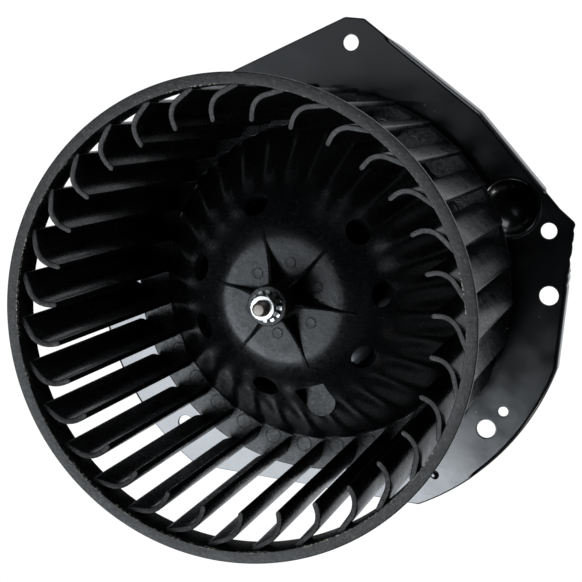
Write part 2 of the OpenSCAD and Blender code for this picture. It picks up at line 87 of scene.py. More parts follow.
RING_R = ring_high.x
RING_TOP = ring_high.z
RING_BASE = ring_low.z
RING_IN = RING_R - 3.7
DISC_R = hub_high.x
DISC_BOTTOM = hub_low.z
DISC_Z = DISC_BOTTOM + 2.6
REST_ANGLE = 8.6
BLADES = 31
BLADE_PHASE = REST_ANGLE + 0.76
PITCH = 360 / BLADES
BLADE_TIP_R, BLADE_STRAIGHT, BLADE_BEND_R, BLADE_BEND, BLADE_TAIL = 60.4, 2.3, 6.4, 70.0, 6.1
BLADE_HALF = 0.96
BLADE_LEVELS = (  # height above the foot, share of the thickness, how much shorter at the outer end
    (0.0, 1.3, 2.8), (0.3, 1.12, 2.5), (0.9, 1.04, 1.9), (1.8, 1.0, 1.1), (3.2, 1.0, 0.35),
    (5.0, 1.0, 0.0), (11.0, 0.98, 0.0), (30.0, 0.97, 0.0), (60.0, 0.96, 0.0))
LAND_Z, LAND_R = 51.6, 21.0
DOME_R, DOME_START, DOME_END, WALL = 29.4, 12.0, 57.7, 2.2
DOME_CR = LAND_R - DOME_R * math.sin(math.radians(DOME_START))
DOME_CZ = LAND_Z - DOME_R * math.cos(math.radians(DOME_START))
BOSS_R, BOSS_TOP = 6.7, hub_high.z
VENT_RING, VENT_R = 33.4, 4.5
VENTS = (0, 40, -40, 108, -108, 162, -162)
RIBS, RIB_ANGLE, RIB_TOP, RIB_START, RIB_END = 6, -14, 61.0, 6.6, 25.2
RIB_DIP, RIB_CURVE = 0.8, 2.3
PAD_ANGLE, PAD_Z, PAD_IN, PAD_W, PAD_STRAIGHT, PAD_TURN = -80, 38.0, 32.3, 10.6, 7.0, 4
NUT_FLATS, NUT_BORE_R, NUT_TURN = 8.0, 2.4, 36.4
PLATE_T = 1.2
PLATE_R, PLATE_SIDE, PLATE_BASE = 91.6, plate_high.x, -plate_low.y
LIP_H = -plate_low.z


# ---- Mesh helpers ---------------------------------------------------------------------------
def turn(x, y, degrees):
    c, s = math.cos(math.radians(degrees)), math.sin(math.radians(degrees))
    return x * c - y * s, x * s + y * c


def circle_row(centre, r, z, steps):
    """One circle of points at a height."""
    angles = [2 * math.pi * k / steps for k in range(steps)]
    return [(centre[0] + r * math.cos(a), centre[1] + r * math.sin(a), z) for a in angles]


def smoothstep(a, b, x):
    t = min(max((x - a) / (b - a), 0.0), 1.0)
    return t * t * (3 - 2 * t)


def fillet(points, radius, steps=3):
    """A closed outline with its corners rounded; corners on the axis stay."""
    out, n = [], len(points)
    for i in range(n):
        p = Vector(points[i])
        u, v = Vector(points[i - 1]) - p, Vector(points[(i + 1) % n]) - p
        angle = u.angle(v)
        if angle > math.radians(168) or abs(p.x) < 1e-6:
            out.append(tuple(p))
            continue
        cut = min(radius / math.tan(angle / 2), 0.46 * u.length, 0.46 * v.length)
        u.normalize()
        v.normalize()
        centre = p + (u + v).normalized() * (cut / math.cos(angle / 2))
        a0 = math.atan2(*(p + u * cut - centre).yx)
        a1 = math.atan2(*(p + v * cut - centre).yx)
        sweep = (a1 - a0 + math.pi) % (2 * math.pi) - math.pi
        r = cut * math.tan(angle / 2)
        for k in range(steps + 1):
            a = a0 + sweep * k / steps
            out.append((centre.x + r * math.cos(a), centre.y + r * math.sin(a)))
    return out


class Shape:
    """Vertices and faces in millimetres, which become one mesh object."""

    def __init__(self):
        self.verts, self.faces, self.flat = [], [], []

    def add(self, verts, faces, flat=False):
        base = len(self.verts)
        self.verts += [tuple(v) for v in verts]
        self.faces += [tuple(base + i for i in f) for f in faces]
        self.flat += [flat] * len(faces)

    def grid(self, rows, wrap_rows=False, wrap_cols=False):
        n, m = len(rows), len(rows[0])
        faces = []
        for i in range(n if wrap_rows else n - 1):
            for j in range(m if wrap_cols else m - 1):
                a, b = i * m, (i + 1) % n * m
                k = (j + 1) % m
                faces.append((a + j, b + j, b + k, a + k))
        self.add([p for row in rows for p in row], faces)

    def lathe(self, profile, steps=96, centre=(0, 0), closed=True, axis=None):
        """Profile points are (radius, height); axis is a matrix that places it."""
        rows = [circle_row(centre, r, z, steps) for r, z in profile]
        if axis is not None:
            rows = [[tuple(axis @ Vector(p)) for p in row] for row in rows]
        self.grid(rows, wrap_rows=closed, wrap_cols=True)

    def prism(self, outline, z0, z1, edge=0.25, slope=None):
        """Upright prism with softened top and bottom edges; slope(x, y) can give the bottom."""
        low = slope or (lambda x, y: z0)
        inner = inset(outline, edge)
        rows = [[(x, y, low(x, y)) for x, y in inner], [(x, y, low(x, y) + edge) for x, y in outline],
                [(x, y, z1 - edge) for x, y in outline], [(x, y, z1) for x, y in inner]]
        self.grid(rows, wrap_cols=True)
        n = len(outline)
        self.add([(x, y, low(x, y)) for x, y in inner], [tuple(range(n))[::-1]], True)
        self.add([(x, y, z1) for x, y in inner], [tuple(range(n))], True)

    def piece(self, name, sharp=38):
        mesh = bpy.data.meshes.new(name)
        mesh.from_pydata([[c * MM for c in v] for v in self.verts], [], self.faces)
        mesh.attributes.new("flat", "BOOLEAN", "FACE").data.foreach_set("value", self.flat)
        bm = bmesh.new()
        bm.from_mesh(mesh)
        bmesh.ops.remove_doubles(bm, verts=bm.verts, dist=2e-7)
        bmesh.ops.recalc_face_normals(bm, faces=bm.faces)
        bm.to_mesh(mesh)
        bm.free()
        mesh.shade_smooth()
        mesh.set_sharp_from_angle(angle=math.radians(sharp))
        flat = mesh.attributes["flat"]
        mesh.polygons.foreach_set("use_smooth", [not face.value for face in flat.data])
        mesh.attributes.remove(flat)
        obj = bpy.data.objects.new(name, mesh)
        bpy.context.scene.collection.objects.link(obj)
        return obj


def inset(outline, distance):
    """The outline moved inwards; it runs anticlockwise."""
    out, n = [], len(outline)
    for i in range(n):
        a, p, b = Vector(outline[i - 1]), Vector(outline[i]), Vector(outline[(i + 1) % n])
        d0, d1 = (p - a).normalized(), (b - p).normalized()
        normal = Vector((-(d0.y + d1.y), d0.x + d1.x))
        if normal.length < 1e-6:
            normal = Vector((-d0.y, d0.x))
        normal.normalize()
        share = max(normal.x * -d0.y + normal.y * d0.x, 0.4)
        out.append(tuple(p + normal * distance / share))
    return out


def cut(piece, cutter):
    """Takes the cutter out of the piece for good."""
    modifier = piece.modifiers.new("cut", "BOOLEAN")
    modifier.object, modifier.operation, modifier.solver = cutter, "DIFFERENCE", "EXACT"
    graph = bpy.context.evaluated_depsgraph_get()
    mesh = bpy.data.meshes.new_from_object(piece.evaluated_get(graph))
    piece.modifiers.clear()
    piece.data = mesh
    bpy.data.objects.remove(cutter)
    mesh.set_sharp_from_angle(angle=math.radians(38))


def place(piece, body, slot, material, *nodes):
    piece.data.materials.clear()
    piece.data.materials.append(material)
    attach(piece, body)
    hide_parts(*nodes)


# ---- Materials --------------------------------------------------------------------------------
class Finish:
    """A procedural material built up from a few kinds of noise in the piece's own coordinates."""

    def __init__(self, name, colour, roughness, metallic=0.0, specular=0.5, coat=0.0, coat_roughness=0.1):
        self.material = bpy.data.materials.new(name)
        self.material.use_nodes = True
        self.tree = self.material.node_tree
        self.shader = self.tree.nodes["Principled BSDF"]
        self.coord = self.new("ShaderNodeTexCoord")
        self.colour = self.rgb(colour)
        self.rough = roughness
        self.rough_socket = None
        self.heights = []
        self.set("Metallic", metallic)
        self.set("Specular IOR Level", specular)
        self.set("Coat Weight", coat)
        self.set("Coat Roughness", coat_roughness)

    def new(self, kind, **inputs):
        node = self.tree.nodes.new(kind)
        for key, value in inputs.items():
            node.inputs[key.replace("_", " ")].default_value = value
        return node

    def set(self, name, value):
        self.shader.inputs[name].default_value = value

    def link(self, a, b):
        self.tree.links.new(a, b)

    def rgb(self, colour):
        node = self.new("ShaderNodeRGB")
        node.outputs[0].default_value = (*colour, 1)
        return node.outputs[0]

    def noise(self, scale, detail=3.0, stretch=(1, 1, 1), roughness=0.55, distortion=0.0):
        mapping = self.new("ShaderNodeMapping", Scale=stretch)
        self.link(self.coord.outputs["Object"], mapping.inputs["Vector"])
        node = self.new("ShaderNodeTexNoise", Scale=scale, Detail=detail, Roughness=roughness,
                        Distortion=distortion)
        self.link(mapping.outputs[0], node.inputs["Vector"])
        return node.outputs["Fac"]

    def cells(self, scale):
        node = self.new("ShaderNodeTexVoronoi", Scale=scale)
        self.link(self.coord.outputs["Object"], node.inputs["Vector"])
        return node.outputs["Distance"]

    def ramp(self, socket, low, high, a=0.0, b=1.0):
        node = self.new("ShaderNodeMapRange")
        for i, value in enumerate((low, high, a, b), start=1):
            node.inputs[i].default_value = value
        self.link(socket, node.inputs[0])
        return node.outputs[0]

    def math(self, kind, a, b):
        node = self.new("ShaderNodeMath")
        node.operation = kind
        for i, value in enumerate((a, b)):
            if isinstance(value, (int, float)):
                node.inputs[i].default_value = value
            else:
                self.link(value, node.inputs[i])
        return node.outputs[0]

    def tint(self, mask, colour):
        """Mixes a colour over what is there, where the mask is 1."""
        node = self.new("ShaderNodeMix")
        node.data_type = "RGBA"
        self.link(mask, node.inputs[0])
        self.link(self.colour, node.inputs[6])
        node.inputs[7].default_value = (*colour, 1)
        self.colour = node.outputs[2]

    def roughen(self, mask, amount):
        base = self.rough_socket if self.rough_socket is not None else self.rough
        self.rough_socket = self.math("ADD", self.math("MULTIPLY", mask, amount), base)

    def bump(self, mask, height_mm):
        self.heights.append((mask, height_mm))

    def height(self):
        """Height above the plate in millimetres, as a socket."""
        split = self.new("ShaderNodeSeparateXYZ")
        self.link(self.coord.outputs["Object"], split.inputs[0])
        return self.math("MULTIPLY", split.outputs[2], 1 / MM)

    def axis_distance(self):
        """Distance from the shaft's axis in millimetres, as a socket."""
        split = self.new("ShaderNodeSeparateXYZ")
        self.link(self.coord.outputs["Object"], split.inputs[0])
        x, y = (self.math("MULTIPLY", split.outputs[i], split.outputs[i]) for i in (0, 1))
        return self.math("MULTIPLY", self.math("SQRT", self.math("ADD", x, y), 0.0), 1 / MM)

    def facing_up(self):
        split = self.new("ShaderNodeSeparateXYZ")
        self.link(self.coord.outputs["Normal"], split.inputs[0])
        return split.outputs[2]

    def done(self):
        self.link(self.colour, self.shader.inputs["Base Color"])
        if self.rough_socket is None:
            self.set("Roughness", self.rough)
        else:
            self.link(self.rough_socket, self.shader.inputs["Roughness"])
        last = None
        for mask, height_mm in self.heights:
            node = self.new("ShaderNodeBump", Strength=1.0, Distance=height_mm * MM)
            self.link(mask, node.inputs["Height"])
            if last is not None:
                self.link(last, node.inputs["Normal"])
            last = node.outputs[0]
        if last is not None:
            self.link(last, self.shader.inputs["Normal"])
        return self.material


def wheel_finish(name, worn_with_painted_light):
    """Black moulded plastic; the second flag adds painted light on the up-facing front, with worn grains and
    marks on it, and a painted highlight along the ring's inner edge.
    """
    f = Finish(name, (0.0014, 0.0015, 0.0018), 0.28, specular=0.17)
    f.tint(f.ramp(f.noise(28, 4), 0.42, 0.7), (0.003, 0.0031, 0.0034))
    f.tint(f.ramp(f.noise(1400, 2), 0.58, 0.72), (0.007, 0.007, 0.0073))
    dust = f.ramp(f.cells(420), 0.10, 0.05)
    f.tint(f.math("MULTIPLY", dust, f.ramp(f.noise(60, 3), 0.56, 0.66)), (0.07, 0.07, 0.07))
    f.roughen(f.ramp(f.noise(90, 4), 0.3, 0.7, -1, 1), 0.06)
    f.roughen(f.ramp(f.noise(760, 4, roughness=0.7), 0.35, 0.65, -1, 1), 0.07)
    f.bump(f.noise(2400, 2), 0.03)
    f.bump(f.noise(520, 3, roughness=0.65), 0.035)
    f.bump(f.noise(140, 3), 0.07)
    if worn_with_painted_light:
        # painted light: up-facing faces near the front (ring face, blade edges) are tinted lighter for the
        # light they catch; the grains and marks laid on this mask are wear
        top = f.math("MULTIPLY", f.ramp(f.height(), RING_TOP - 7.5, RING_TOP - 6.0),
                     f.ramp(f.facing_up(), 0.6, 0.95))
        f.tint(f.math("MULTIPLY", top, 0.75), (0.0135, 0.0128, 0.0122))
        grains = f.math("MULTIPLY", f.ramp(f.noise(1500, 4, roughness=0.75), 0.5, 0.7), top)
        f.tint(f.math("MULTIPLY", grains, 0.6), (0.06, 0.058, 0.055))
        marks = f.math("MULTIPLY", f.ramp(f.noise(620, 5, roughness=0.7), 0.54, 0.7), top)
        f.tint(marks, (0.045, 0.043, 0.041))
        # painted highlight: a pale band along the ring's inner top edge, broken up by noise
        inner = f.math("MULTIPLY", f.ramp(f.axis_distance(), RING_IN + 0.5, RING_IN + 0.15),
                       f.ramp(f.axis_distance(), RING_IN - 0.6, RING_IN - 0.2))
        highlight_breaks = f.math("MULTIPLY", f.ramp(f.noise(1100, 3), 0.5, 0.62), f.ramp(f.noise(90, 2), 0.45, 0.6))
        painted_edge_highlight = f.math("MULTIPLY", f.math("MULTIPLY", inner, highlight_breaks),
                       f.ramp(f.height(), RING_TOP - 1.2, RING_TOP - 0.6))
        f.tint(painted_edge_highlight, (0.26, 0.24, 0.2))
        f.roughen(top, 0.14)
        f.bump(f.math("MULTIPLY", f.noise(1500, 4, roughness=0.75), top), 0.05)
        f.bump(f.math("MULTIPLY", f.noise(700, 5, roughness=0.75), top), 0.16)
    return f.done()


def paint_finish(name, colour, roughness, coat):
    f = Finish(name, colour, roughness, coat=coat, coat_roughness=0.12)
    f.tint(f.ramp(f.noise(24, 4), 0.45, 0.7), tuple(c * 1.7 for c in colour))
    specks = f.math("MULTIPLY", f.ramp(f.cells(260), 0.07, 0.03), f.ramp(f.noise(45, 2), 0.55, 0.65))
    f.tint(specks, (0.25, 0.25, 0.25))
    f.roughen(f.ramp(f.noise(70, 5), 0.35, 0.7, -1, 1), 0.05)
    f.bump(f.noise(330, 2), 0.012)
    f.bump(f.noise(60, 2), 0.05)
    return f.done()


def metal_finish(name, colour, roughness, brushed=(1, 1, 1), dull=0.6, stains=0.5, metallic=1.0):
    f = Finish(name, colour, roughness, metallic=metallic)
    f.tint(f.ramp(f.noise(38, 5), 0.5, 0.75, 0, stains), tuple(c * dull for c in colour))
    f.tint(f.ramp(f.noise(900, 3, brushed), 0.55, 0.8, 0, 0.5), tuple(c * 0.75 for c in colour))
    f.roughen(f.ramp(f.noise(220, 4, brushed), 0.3, 0.7, -1, 1), 0.09)
    f.bump(f.noise(1500, 2, brushed), 0.012)
    return f.done()


def plain_finish(name, colour, roughness, lighter=1.5, grain=1500, height_mm=0.02, specular=0.4):
    f = Finish(name, colour, roughness, specular=specular)
    f.tint(f.ramp(f.noise(40, 4), 0.45, 0.7), tuple(min(c * lighter, 1) for c in colour))
    f.tint(f.ramp(f.noise(grain, 2), 0.6, 0.75, 0, 0.6), tuple(c * 0.6 for c in colour))
    f.roughen(f.ramp(f.noise(120, 4), 0.3, 0.7, -1, 1), 0.07)
    f.bump(f.noise(grain, 2), height_mm)
    return f.done()


wheel_plastic = wheel_finish("wheel_plastic", False)
wheel_worn_painted_light = wheel_finish("wheel_plastic_worn_painted_light", True)
plate_paint = paint_finish("plate_paint", (0.0012, 0.0013, 0.0016), 0.2, 0.2)
thread_steel = metal_finish("thread_steel", (0.1, 0.088, 0.078), 0.4, (1, 1, 6), metallic=0.9)
finishes = {
    "plate_paint": plate_paint,
    "case_steel": metal_finish("case_steel", (0.21, 0.22, 0.235), 0.34, (1, 1, 0.08)),
    "cap_steel": metal_finish("cap_steel", (0.42, 0.43, 0.44), 0.3),
    "ring_steel": paint_finish("ring_steel", (0.012, 0.0125, 0.0135), 0.36, 0.1),
    "grommet_rubber": plain_finish("grommet_rubber", (0.016, 0.016, 0.0165), 0.72, specular=0.3),
    "zinc": metal_finish("zinc", (0.3, 0.3, 0.295), 0.3, dull=0.5, metallic=0.95),
    "sintered_bronze": metal_finish("sintered_bronze", (0.4, 0.27, 0.14), 0.5),
    "spring_steel": metal_finish("spring_steel", (0.45, 0.46, 0.47), 0.28),
    "ferrite": plain_finish("ferrite", (0.055, 0.055, 0.06), 0.6),
    "phenolic": plain_finish("phenolic", (0.16, 0.085, 0.04), 0.5),
    "holder_brass": metal_finish("holder_brass", (0.62, 0.44, 0.16), 0.3),
    "carbon": plain_finish("carbon", (0.03, 0.03, 0.031), 0.6),
    "choke_winding": metal_finish("choke_winding", (0.55, 0.25, 0.1), 0.32, (0.05, 1, 1)),
    "terminal_tin": metal_finish("terminal_tin", (0.62, 0.6, 0.52), 0.3),
    "plug_plastic": plain_finish("plug_plastic", (0.014, 0.014, 0.015), 0.42),
    "wheel_plastic": wheel_plastic,
    "shaft_steel": metal_finish("shaft_steel", (0.56, 0.57, 0.58), 0.22, (1, 1, 8)),
    "lamination_steel": metal_finish("lamination_steel", (0.26, 0.27, 0.28), 0.42, (0.3, 0.3, 6)),
    "enamelled_copper": metal_finish("enamelled_copper", (0.5, 0.2, 0.07), 0.34),
    "commutator_copper": metal_finish("commutator_copper", (0.56, 0.3, 0.17), 0.25),
    "nylon": plain_finish("nylon", (0.6, 0.56, 0.46), 0.5, lighter=1.1),
}
for row in frame["record"]["subparts"]:
    node = frame["nodes"][row["node"]]
    node.data.materials.clear()
    node.data.materials.append(finishes[row["material_slot"]])


# ---- Wheel: front ring --------------------------------------------------------------------------
def front_ring():
    shape = Shape()
    top = RING_TOP
    profile = [
        (RING_IN, RING_BASE), (RING_IN + 1.15, RING_BASE), (RING_IN + 1.35, top - 4.6),
        (RING_R - 0.25, top - 1.9), (RING_R, top - 1.5), (RING_R, top - 0.28), (RING_R - 0.28, top),
        (RING_IN, top)]
    shape.lathe(fillet(profile, 0.22), steps=310)
    place(shape.piece("wheel_ring"), ROTOR, "wheel_plastic", wheel_worn_painted_light, "wheel_front_ring")


# ---- Wheel: blades --------------------------------------------------------------------------------
def blade_line(s, side):
    """A point of one blade's face: s runs along its middle line from the tip, side is the distance off it."""
    bend = math.radians(BLADE_BEND)
    arc = BLADE_BEND_R * bend
    if s < BLADE_STRAIGHT:
        return BLADE_TIP_R + s, side
    if s < BLADE_STRAIGHT + arc:
        a = (s - BLADE_STRAIGHT) / BLADE_BEND_R
        r = BLADE_BEND_R - side
        return BLADE_TIP_R + BLADE_STRAIGHT + r * math.sin(a), BLADE_BEND_R - r * math.cos(a)
    t, r = s - BLADE_STRAIGHT - arc, BLADE_BEND_R - side
    return (BLADE_TIP_R + BLADE_STRAIGHT + r * math.sin(bend) + t * math.cos(bend),
            BLADE_BEND_R - r * math.cos(bend) + t * math.sin(bend))


BLADE_LENGTH = BLADE_STRAIGHT + BLADE_BEND_R * math.radians(BLADE_BEND) + BLADE_TAIL


def blade_stations(half, short):
    """(s, half width) along the blade, with a round inner end and a round outer end."""
    ends = [(-half * math.cos(math.radians(a)), half * math.sin(math.radians(a)))
            for a in (0, 25, 50, 75, 90)]
    length = BLADE_LENGTH - short
    body = [(length * k / 13, half) for k in range(1, 13)]
    tail = [(length - half * 0.4 + half * 0.4 * math.sin(math.radians(a)),
             half * (0.55 + 0.45 * math.cos(math.radians(a)))) for a in (0, 45, 90)]
    return [(s + half, w) for s, w in ends] + body + tail


def blade_top(x):
    """The front edge drops from the ring towards the tip."""
    return RING_TOP - 5.4 + 2.5 * smoothstep(BLADE_TIP_R, RING_IN, x)


def blades():
    shape = Shape()
    for i in range(BLADES):
        angle = BLADE_PHASE + i * PITCH

        def ring(half, short, z):
            left, right = [], []
            for s, w in blade_stations(half, short):
                for side, out in ((w, left), (-w, right)):
                    x, y = blade_line(s, side)
                    px, py = turn(x, -y, angle)
                    out.append((px, py, z(x) if callable(z) else z))
            return left + right[::-1]

        rows = [ring(BLADE_HALF * k, short, DISC_Z - 0.4 + up) for up, k, short in BLADE_LEVELS]
        soft = 0.3
        for a in (0, 30, 60, 90):
            drop = soft * (1 - math.sin(math.radians(a)))
            half = BLADE_HALF * 0.95 - soft * (1 - math.cos(math.radians(a)))
            rows.append(ring(half, 0.0, lambda x, d=drop: blade_top(x) - d))
        shape.grid(rows, wrap_cols=True)
        n = len(rows[0]) // 2
        for row in (rows[0], rows[-1]):
            shape.add(row, [(k, k + 1, 2 * n - 2 - k, 2 * n - 1 - k) for k in range(n - 1)])
    place(shape.piece("wheel_blade_set", 50), ROTOR, "wheel_plastic", wheel_worn_painted_light, "wheel_blades")


# ---- Wheel: hub and rear disc -----------------------------------------------------------------------
def dome_profile(r, grow):
    """Height of the dome's surface at a radius; grow moves it along the normal."""
    radius = DOME_R + grow
    end = math.radians(DOME_END)
    end_r, end_z = DOME_CR + radius * math.sin(end), DOME_CZ + radius * math.cos(end)
    land_r = DOME_CR + radius * math.sin(math.radians(DOME_START))
    land_z = DOME_CZ + radius * math.cos(math.radians(DOME_START))
    if r <= land_r:
        return land_z
    if r <= end_r:
        return DOME_CZ + math.sqrt(radius ** 2 - (r - DOME_CR) ** 2)
    return end_z - (r - end_r) * math.tan(end)


def flute(r, angle):
    """How far the skirt is pushed outwards in line with each blade."""
    ridge = 0.5 + 0.5 * math.cos(math.radians((angle - BLADE_PHASE) * BLADES))
    lobe = smoothstep(36, 47, r) * (1 - 0.75 * smoothstep(50, 58, r))
    return (0.8 * ridge - 0.35) * lobe


def hub_height(r, angle):
    """Height of the dome, run softly into the flat disc round it."""
    z = dome_profile(r - flute(r, angle), 0.0)
    gap = z - DISC_Z
    soft = 0.7
    if gap > soft:
        return z
    return DISC_Z + (0 if gap < -soft else (gap + soft) ** 2 / (4 * soft))


def hub():
    shape = Shape()
    columns = BLADES * 20
    angles = [360 * k / columns for k in range(columns)]
    radii = [5.0, 9.0, 14.0, 18.0, 20.4]
    radii += [20.4 + 1.2 * k for k in range(1, 15)] + [37.2 + 0.8 * k for k in range(1, 24)]
    radii += [56.2 + 0.35 * k for k in range(1, 12)] + [61.0, 63.0, 66.0, 69.0, 70.1]
    rows = [[(*turn(r, 0, a), hub_height(r, a)) for a in angles] for r in radii]
    rim = [(DISC_R - 0.15, -0.15), (DISC_R, -0.5), (DISC_R, -2.1), (DISC_R - 0.15, -2.45),
           (DISC_R - 0.5, -2.6)]
    rows += [[(*turn(r, 0, a), DISC_Z + dz) for a in angles] for r, dz in rim]
    underside = (64.0, 59.5, 57.5, 55.0, 52.0, 50.0, 48.0, 45.5, 43.0, 40.0, 37.0, 34.0, 30.0, 26.0,
                 21.0, 14.0, 5.0)
    for r in underside:
        rows.append([(*turn(r, 0, a), max(DISC_BOTTOM, dome_profile(r - 0.5 * flute(r, a) + 0.3, -WALL)))
                     for a in angles])
    shape.grid(rows, wrap_rows=True, wrap_cols=True)
    piece = shape.piece("wheel_hub_disc", 40)

    cutter = Shape()
    for vent in VENTS:
        a = vent + REST_ANGLE
        tilt = math.asin((VENT_RING - DOME_CR) / DOME_R)
        z = DOME_CZ + DOME_R * math.cos(tilt)
        put = (Matrix.Rotation(math.radians(a), 4, "Z") @ Matrix.Translation((VENT_RING, 0, z))
               @ Matrix.Rotation(tilt, 4, "Y"))
        cutter.lathe([(0, -8), (VENT_R, -8), (VENT_R, -0.45), (VENT_R + 0.12, -0.12), (VENT_R + 0.5, 0.3),
                      (VENT_R + 0.5, 7), (0, 7)], 48, axis=put)
    cutter.prism(pad_outline(0.06), PAD_Z - 0.02, PAD_Z + 20, edge=0.02)
    cut(piece, cutter.piece("cutter"))
    place(piece, ROTOR, "wheel_plastic", wheel_plastic, "wheel_hub")

    details = Shape()
    details.prism(pad_outline(0.0), 0, PAD_Z, edge=0.18, slope=pad_floor)
    boss = [(3.2, 41), (BOSS_R, 41), (BOSS_R, BOSS_TOP - 0.3), (BOSS_R - 0.3, BOSS_TOP), (3.2, BOSS_TOP)]
    details.lathe(fillet(boss, 0.15), 72)
    for k in range(RIBS):
        rib(details, RIB_ANGLE + REST_ANGLE + 60 * k)
        x, y = turn(12.4, 0, RIB_ANGLE + 30 + 60 * k + REST_ANGLE)
        details.lathe([(0, LAND_Z - 0.3), (2.0, LAND_Z - 0.3), (1.95, LAND_Z + 0.12), (1.8, LAND_Z + 0.24),
                       (1.6, LAND_Z + 0.24), (1.5, LAND_Z + 0.1), (0, LAND_Z + 0.06)], 36, (x, y))
    for k in range(BLADES):
        x, y = turn(61.6, 0, BLADE_PHASE + PITCH * (k + 0.5))
        details.lathe([(2.5, DISC_Z - 0.2), (3.0, DISC_Z - 0.2), (2.93, DISC_Z + 0.1), (2.75, DISC_Z + 0.16),
                       (2.57, DISC_Z + 0.1)], 32, (x, y))
    place(details.piece("wheel_hub_details"), ROTOR, "wheel_plastic", wheel_plastic, "wheel_hub")


def pad_outline(grow):
    """D shape, anticlockwise: straight towards the axis, round outwards."""
    half = PAD_W / 2 + grow
    points = [(-grow, half), (-grow, -half)]
    points += [(PAD_STRAIGHT + half * math.sin(math.radians(a)), -half * math.cos(math.radians(a)))
               for a in range(0, 181, 9)]
    out = []
    for x, y in points:
        x, y = turn(x, y, PAD_TURN)
        out.append(turn(PAD_IN + x, y, PAD_ANGLE + REST_ANGLE))
    return out


def pad_floor(x, y):
    """Height of the pad's underside, which follows the dome outwards."""
    return 34.0 - 9.0 * smoothstep(0, 1, (math.hypot(x, y) - PAD_IN) / 12.3)


def rib(shape, angle):
    """One thin rib, highest beside the boss and running out at the edge of the land."""
    rows = []
    for r in (5.0, RIB_START, 9.0, 12.0, 15.0, 18.0, 21.0, 23.2, RIB_END):
        dip = RIB_DIP * smoothstep(LAND_R, RIB_END, r)
        rise = (RIB_TOP - LAND_Z) * max(1 - (r - RIB_START) / (RIB_END - RIB_START), 0.0) ** RIB_CURVE
        top = min(LAND_Z + 0.05 - dip + rise, RIB_TOP)
        base = LAND_Z - 1.0 if r < LAND_R else dome_profile(r, 0.0) - 1.0
        half = 0.55 + 0.1 * (1 - smoothstep(6, 24, r))
        section = [(-half - 0.12, base), (-half, base + 1.2), (-half * 0.8, max(top - 0.25, base + 1.3)),
                   (-half * 0.45, max(top, base + 1.4)), (half * 0.45, max(top, base + 1.4)),
                   (half * 0.8, max(top - 0.25, base + 1.3)), (half, base + 1.2), (half + 0.12, base)]
        rows.append([(*turn(r, y, angle), z) for y, z in section])
    shape.grid(rows, wrap_cols=True)
    shape.add(rows[0], [tuple(range(8))], True)
    shape.add(rows[-1], [tuple(range(8))], True)


# ---- Nut, washer and the shaft's threaded end -----------------------------------------------------
def thread(shape, radius, depth, pitch, z0, z1, steps=48):
    """A right-hand screw thread that fades out at its upper end."""
    rows = []
    per_turn = 12
    levels = round((z1 - z0) / pitch * per_turn)
    for i in range(levels + 1):
        z = z0 + (z1 - z0) * i / levels
        row = []
        for k in range(steps):
            phase = (z / pitch - k / steps) % 1.0
            groove = 1 - abs(2 * phase - 1)
            groove = smoothstep(0.12, 0.88, groove)
            fade = smoothstep(0.0, 0.45, z1 - z)
            r = radius - depth * groove * fade - 0.6 * (1 - smoothstep(0.0, 0.5, z1 - z))
            row.append((r * math.cos(2 * math.pi * k / steps), r * math.sin(2 * math.pi * k / steps), z))
        rows.append(row)
    shape.grid(rows, wrap_cols=True)
    top = rows[-1]
    cap = [[(x * s, y * s, z1 + dz) for x, y, _ in top]
           for s, dz in ((1, 0), (0.9, 0.04), (0.85, 0.05), (0, 0.05))]
    shape.grid(cap, wrap_cols=True)


def shaft():
    shape = Shape()
    radius = shaft_high.x
    shape.lathe(fillet([(0, shaft_low.z), (radius - 0.6, shaft_low.z), (radius, shaft_low.z + 0.6),
                        (radius, 69.6), (radius - 0.5, 70.0), (0, 70.0)], 0.15), 64)
    thread(shape, 2.38, 0.5, 1.058, 69.0, shaft_high.z - 0.25)
    shape.lathe([(0, 69.0), (2.3, 69.0), (2.3, 69.1), (0, 69.1)], 48)
    place(shape.piece("threaded_shaft"), ROTOR, "shaft_steel", thread_steel, "armature_shaft")


def nut_shape(shape, flats, bore, z0, z1, turned):
    """Hexagon nut on the axis, with turned chamfers on the corners of both ends."""
    steps, rows = 96, []
    apothem, corner = flats / 2, flats / 2 / math.cos(math.pi / 6)
    face_r = apothem - 0.12

    def ring(z, limit):
        row = []
        for k in range(steps):
            a = 2 * math.pi * k / steps
            fold = (a + math.pi / 6) % (math.pi / 3) - math.pi / 6
            r = min(apothem / math.cos(fold), limit, corner - 0.08)
            row.append((r * math.cos(a + turned), r * math.sin(a + turned), z))
        return row

    cone = [(face_r + (corner - face_r) * k / 6, 0.6 * (corner - face_r) * k / 6) for k in range(7)]
    rows += [ring(z0 + drop, limit) for limit, drop in cone]
    rows += [ring(z1 - drop, limit) for limit, drop in reversed(cone)]
    for r, z in ((bore + 0.35, z1), (bore, z1 - 0.35), (bore, z0 + 0.3), (bore + 0.3, z0)):
        rows.append([(r * math.cos(2 * math.pi * k / steps + turned),
                      r * math.sin(2 * math.pi * k / steps + turned), z) for k in range(steps)])
    shape.grid(rows, wrap_rows=True, wrap_cols=True)


